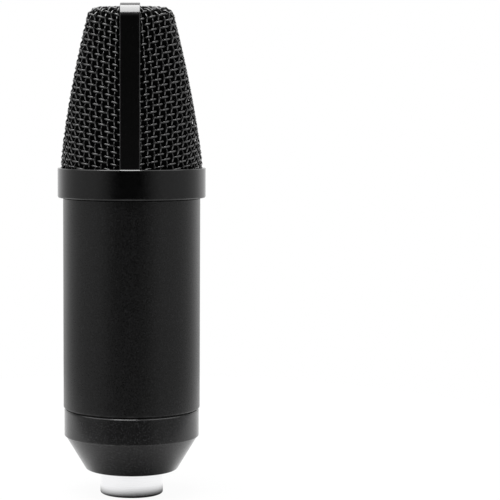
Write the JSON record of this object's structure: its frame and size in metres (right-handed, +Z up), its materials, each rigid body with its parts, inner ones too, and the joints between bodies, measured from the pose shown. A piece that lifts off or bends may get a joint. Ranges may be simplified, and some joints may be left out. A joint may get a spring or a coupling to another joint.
{
  "type": "condenser microphone",
  "caption": "Side-address condenser microphone with a wedge-shaped wire head, collar, straight black barrel, screw-on end cap and a three-pin connector at its foot.",
  "frame": {"origin": "centre of the connector's rim, at the foot of the microphone", "axes": "+Z up the barrel to the head, +X the way the capsule faces, the strap over the head lies along Y"},
  "size_m": [0.048, 0.048, 0.1586],
  "materials": {
    "black_coat": "satin black coat with a fine grain",
    "black_wire": "black coated woven wire",
    "foam": "open-cell black foam",
    "cast_metal": "as cast, turned on its seats",
    "steel": "zinc plated",
    "rubber": "soft matt black",
    "plastic": "moulded black",
    "brass": "turned",
    "gold_film": "gold coated film",
    "lead_insulation": "smooth insulation",
    "board": "solder resist on a glass-fibre board",
    "capacitor_sleeve": "shrunk sleeve",
    "capacitor_coat": "dipped coat",
    "resistor_coat": "lacquer",
    "bright_shell": "satin bright plate",
    "gold_plate": "gold plated"
  },
  "bodies": {
    "head_and_chassis": {"head_collar": "black_coat", "grille_strap": "black_coat", "grille_right": "black_wire", "grille_left": "black_wire", "inner_screen": "black_wire", "foam_liner": "foam", "retaining_ring": "cast_metal", "top_plate": "cast_metal", "left_rail": "cast_metal", "right_rail": "cast_metal", "base_plate": "cast_metal", "head_screws": "steel", "rail_screws": "steel", "pedestal_screws": "steel", "clamp_screws": "steel", "board_screws": "steel", "shell_set_screws": "steel", "rubber_isolator": "rubber", "capsule_pedestal": "plastic", "capsule_insulator": "plastic", "diaphragm_spacer": "plastic", "connector_insert": "plastic", "transistors": "plastic", "capsule_housing": "brass", "backplate": "brass", "diaphragm_clamp": "brass", "diaphragm": "gold_film", "capsule_leads": "lead_insulation", "connector_leads": "lead_insulation", "circuit_board": "board", "electrolytic_capacitors": "capacitor_sleeve", "film_capacitors": "capacitor_coat", "resistors": "resistor_coat", "connector_shell": "bright_shell", "contact_pin_1": "gold_plate", "contact_pin_2": "gold_plate", "contact_pin_3": "gold_plate"},
    "barrel": {"barrel": "black_coat"},
    "end_cap": {"end_cap": "black_coat"}
  },
  "joints": [
    {"name": "barrel_slide", "type": "slide", "parent": "head_and_chassis", "child": "barrel", "axis": [0, 0, -1], "range_m": [0, 0.006]},
    {"name": "cap_turn", "type": "hinge", "parent": "barrel", "child": "end_cap", "pos_m": [0, 0, 0.0195], "axis": [0, 0, -1], "range_deg": [0, 2160]}
  ],
  "couplings": [
    {"joint": "cap_turn", "follows": "barrel_slide", "rad_per_m": 6283.2}
  ]
}
